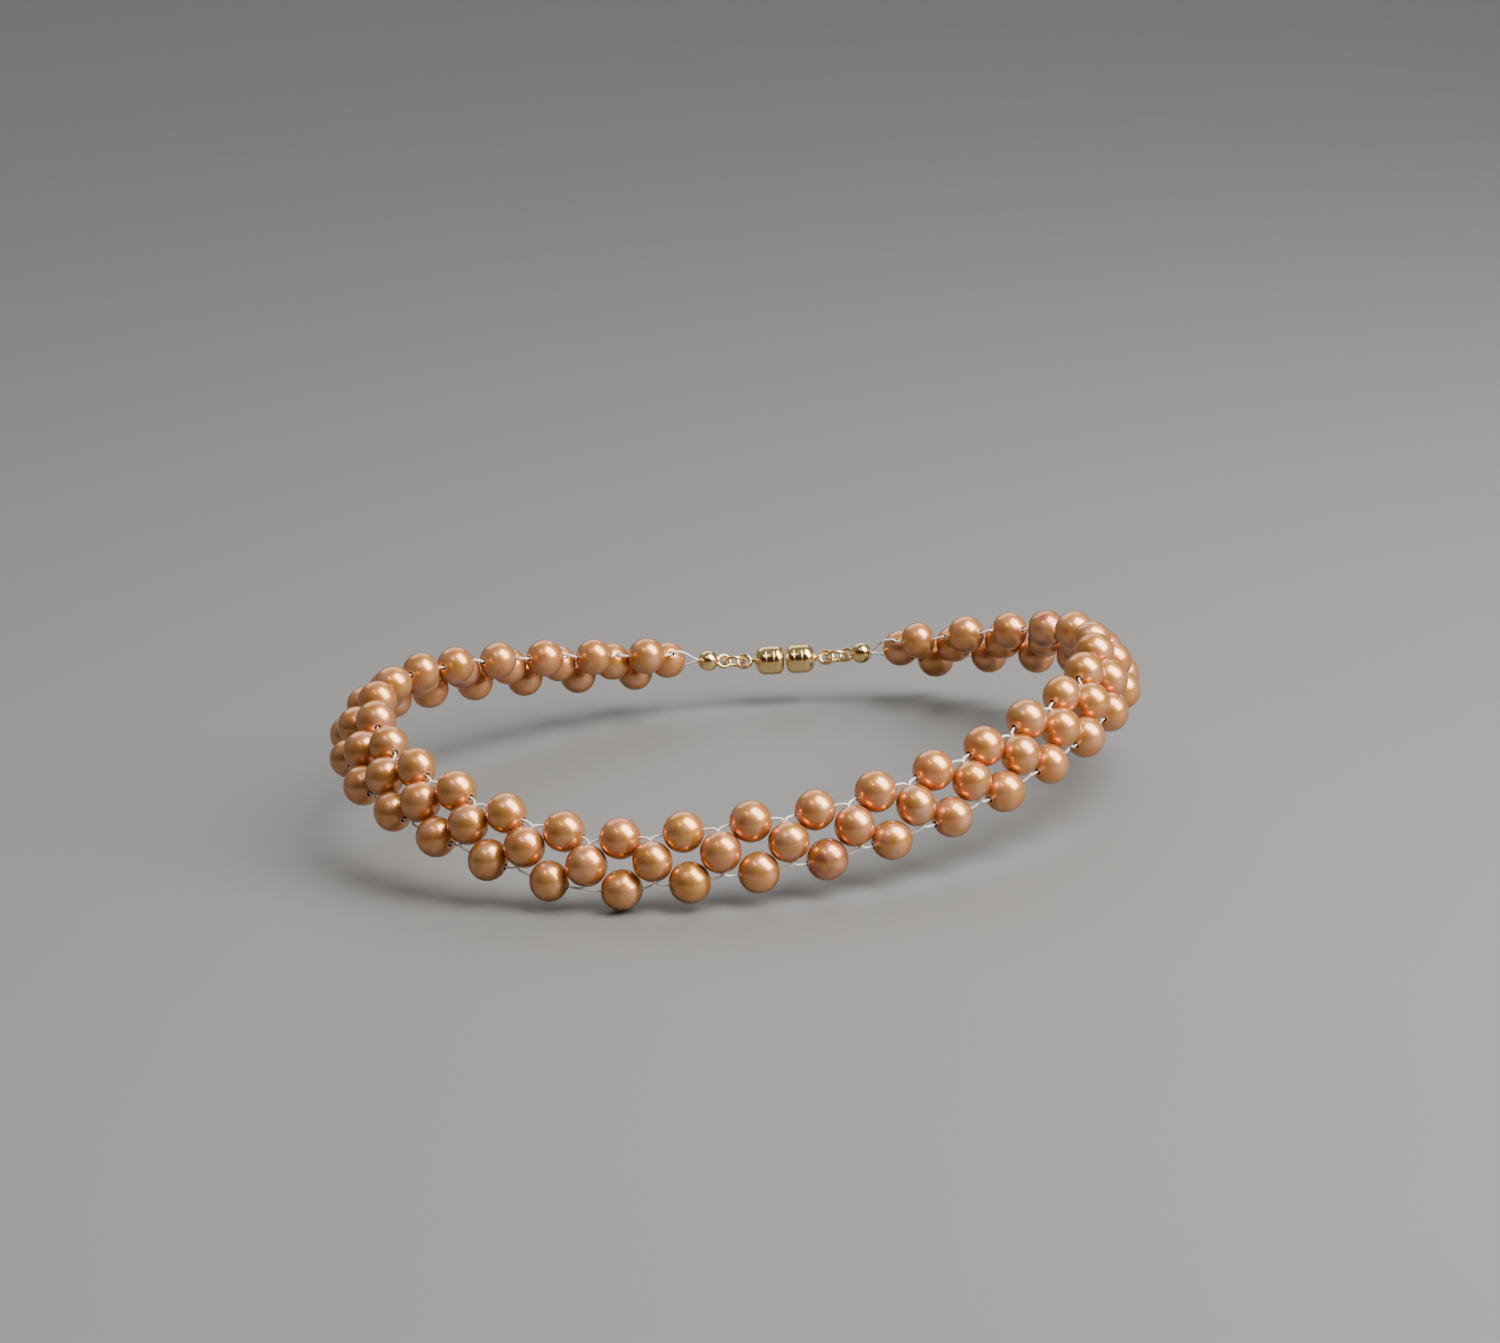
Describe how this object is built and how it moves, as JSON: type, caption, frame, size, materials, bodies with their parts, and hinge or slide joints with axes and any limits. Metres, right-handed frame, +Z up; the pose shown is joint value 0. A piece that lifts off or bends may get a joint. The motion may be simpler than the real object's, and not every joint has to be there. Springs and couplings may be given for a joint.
{
  "type": "pearl necklace",
  "caption": "Woven choker of near-round peach pearls in three staggered rows on clear thread, hinged at its middle pearls, closed at the back by a magnetic barrel clasp.",
  "frame": {"origin": "middle of the neck opening, at the mean height of the band's middle row of pearls", "axes": "+Z up, along the neck; -Y towards the front of the neck; +X towards the wearer's left; the clasp is at the back, at +Y"},
  "size_m": [0.1425, 0.1253, 0.0269],
  "materials": {
    "pearl": "high-lustre nacre, peach with gold and rose overtones",
    "thread": "clear glossy monofilament",
    "gold_plated_brass": "polished gold plating",
    "crimp": "squeezed, satin",
    "magnet": "nickel-plated, polished"
  },
  "bodies": {
    "front": {"front_bottom_pearl": "pearl", "front_middle_pearls": "pearl", "front_thread": "thread", "front_top_pearl": "pearl"},
    "left_1": {"left_1_bottom_pearls": "pearl", "left_1_middle_pearls": "pearl", "left_1_thread": "thread", "left_1_top_pearls": "pearl"},
    "left_2": {"left_2_bottom_pearls": "pearl", "left_2_middle_pearls": "pearl", "left_2_thread": "thread", "left_2_top_pearls": "pearl"},
    "left_3": {"left_3_bottom_pearls": "pearl", "left_3_middle_pearls": "pearl", "left_3_thread": "thread", "left_3_top_pearls": "pearl"},
    "left_4": {"left_4_bottom_pearls": "pearl", "left_4_middle_pearls": "pearl", "left_4_thread": "thread", "left_4_top_pearls": "pearl"},
    "left_5": {"left_5_bottom_pearls": "pearl", "left_5_middle_pearls": "pearl", "left_5_thread": "thread", "left_5_top_pearls": "pearl", "left_bead_tip": "gold_plated_brass", "left_crimp_bead": "crimp"},
    "left_ring": {"left_jump_ring": "gold_plated_brass"},
    "left_clasp": {"left_clasp_eye": "gold_plated_brass", "left_clasp_shell": "gold_plated_brass", "left_clasp_magnet": "magnet"},
    "right_1": {"right_1_bottom_pearls": "pearl", "right_1_middle_pearls": "pearl", "right_1_thread": "thread", "right_1_top_pearls": "pearl"},
    "right_2": {"right_2_bottom_pearls": "pearl", "right_2_middle_pearls": "pearl", "right_2_thread": "thread", "right_2_top_pearls": "pearl"},
    "right_3": {"right_3_bottom_pearls": "pearl", "right_3_middle_pearls": "pearl", "right_3_thread": "thread", "right_3_top_pearls": "pearl"},
    "right_4": {"right_4_bottom_pearls": "pearl", "right_4_middle_pearls": "pearl", "right_4_thread": "thread", "right_4_top_pearls": "pearl"},
    "right_5": {"right_5_bottom_pearls": "pearl", "right_5_middle_pearls": "pearl", "right_5_thread": "thread", "right_5_top_pearls": "pearl", "right_bead_tip": "gold_plated_brass", "right_crimp_bead": "crimp"},
    "right_ring": {"right_jump_ring": "gold_plated_brass"},
    "right_clasp": {"right_clasp_eye": "gold_plated_brass", "right_clasp_shell": "gold_plated_brass", "right_clasp_magnet": "magnet"}
  },
  "joints": [
    {"name": "right_flex_1", "type": "hinge", "parent": "front", "child": "right_1", "pos_m": [-0.00556, -0.05905, -0.00623], "axis": [-0.1349, 0.3874, 0.912], "range_deg": [0, 30]},
    {"name": "right_flex_2", "type": "hinge", "parent": "right_1", "child": "right_2", "pos_m": [-0.03762, -0.05238, -0.00162], "axis": [0.3687, 0.3506, 0.8609], "range_deg": [0, 30]},
    {"name": "right_flex_3", "type": "hinge", "parent": "right_2", "child": "right_3", "pos_m": [-0.061, -0.02924, 0.00438], "axis": [0.5932, 0.1717, 0.7866], "range_deg": [0, 30]},
    {"name": "right_flex_4", "type": "hinge", "parent": "right_3", "child": "right_4", "pos_m": [-0.06475, 0.00389, 0.00568], "axis": [0.7205, -0.1051, 0.6855], "range_deg": [0, 30]},
    {"name": "right_flex_5", "type": "hinge", "parent": "right_4", "child": "right_5", "pos_m": [-0.04927, 0.03327, 0.00129], "axis": [0.658, -0.4559, 0.5993], "range_deg": [0, 30]},
    {"name": "right_ring_swing", "type": "hinge", "parent": "right_5", "child": "right_ring", "pos_m": [-0.01195, 0.05574, -0.00498], "axis": [0.3173, -0.7448, 0.587], "range_deg": [-30, 30]},
    {"name": "right_clasp_swing", "type": "hinge", "parent": "right_ring", "child": "right_clasp", "pos_m": [-0.00817, 0.05695, -0.00549], "axis": [-0.0676, 0.5913, 0.8036], "range_deg": [-20, 20]},
    {"name": "left_flex_1", "type": "hinge", "parent": "front", "child": "left_1", "pos_m": [0.00564, -0.0578, -0.00523], "axis": [0.1218, -0.3602, -0.9249], "range_deg": [0, 30]},
    {"name": "left_flex_2", "type": "hinge", "parent": "left_1", "child": "left_2", "pos_m": [0.03645, -0.04487, -0.00186], "axis": [0.328, -0.2264, -0.9172], "range_deg": [0, 30]},
    {"name": "left_flex_3", "type": "hinge", "parent": "left_2", "child": "left_3", "pos_m": [0.05877, -0.02033, 0.00354], "axis": [0.4431, -0.0963, -0.8913], "range_deg": [0, 30]},
    {"name": "left_flex_4", "type": "hinge", "parent": "left_3", "child": "left_4", "pos_m": [0.06584, 0.01233, 0.00586], "axis": [0.5527, 0.0266, -0.8329], "range_deg": [0, 30]},
    {"name": "left_flex_5", "type": "hinge", "parent": "left_4", "child": "left_5", "pos_m": [0.0516, 0.04222, 0.00179], "axis": [0.5781, 0.3874, -0.7181], "range_deg": [0, 30]},
    {"name": "left_ring_swing", "type": "hinge", "parent": "left_5", "child": "left_ring", "pos_m": [0.01159, 0.05842, -0.005], "axis": [-0.1518, -0.7505, 0.6432], "range_deg": [-30, 30]},
    {"name": "left_clasp_swing", "type": "hinge", "parent": "left_ring", "child": "left_clasp", "pos_m": [0.00764, 0.05878, -0.00551], "axis": [0.0676, -0.5913, -0.8036], "range_deg": [-20, 20]}
  ]
}
